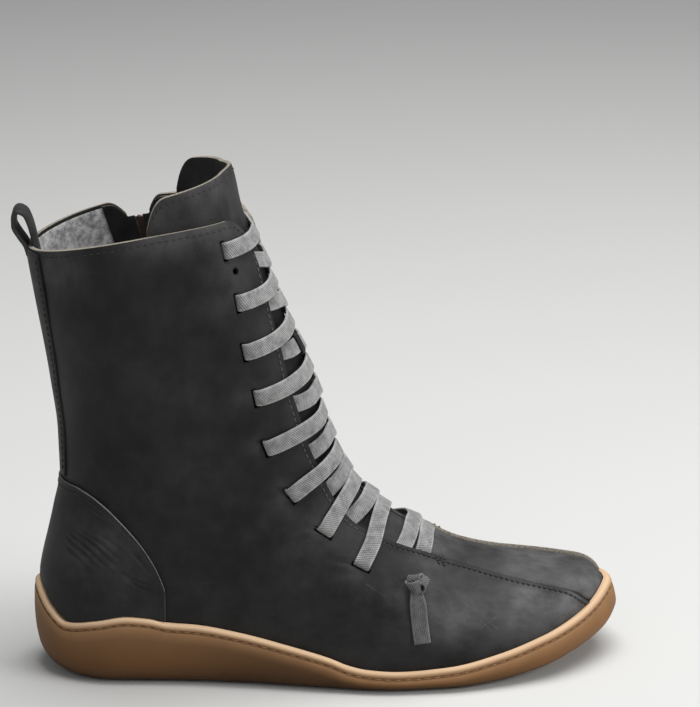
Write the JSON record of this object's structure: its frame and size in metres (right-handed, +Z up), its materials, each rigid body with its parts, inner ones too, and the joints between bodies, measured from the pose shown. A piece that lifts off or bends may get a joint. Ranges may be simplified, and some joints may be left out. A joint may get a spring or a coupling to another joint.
{
  "type": "mid-calf lace boot",
  "caption": "Right mid-calf leather boot with a cupped gum rubber sole, flat lace through slits over a tall tongue, zip on the inner side and a pull loop at the back.",
  "frame": {"origin": "middle of the heel's flat tread, on the plane the boot stands on, 45 mm in front of the back of the heel", "axes": "+X along the foot to the toe, +Y to the inner (medial) side, +Z up the leg"},
  "size_m": [0.2713, 0.1025, 0.2327],
  "materials": {
    "leather": "waxed, softly buffed",
    "gum_rubber": "matt gum rubber",
    "lining": "brushed textile",
    "lace": "flat woven",
    "zip_tape": "woven tape with moulded teeth",
    "zip_metal": "dark antiqued"
  },
  "bodies": {
    "boot": {"outsole": "gum_rubber", "insole": "lining", "upper": "leather", "tongue": "leather", "tongue_loop": "leather", "heel_counter": "leather", "backstay": "leather", "pull_loop": "leather", "zip_chain": "zip_tape", "zip_slider": "zip_metal", "lace_bars": "lace", "lace_knot_outer": "lace", "lace_knot_inner": "lace", "lace_end_outer": "lace", "lace_end_inner": "lace"},
    "zip_tab": {"zip_pull": "zip_metal"}
  },
  "joints": [
    {"name": "zip_tab_swing", "type": "hinge", "parent": "boot", "child": "zip_tab", "pos_m": [0.00772, 0.04433, 0.19299], "axis": [0.9989, -0.0464, 0], "range_deg": [0, 160]}
  ]
}
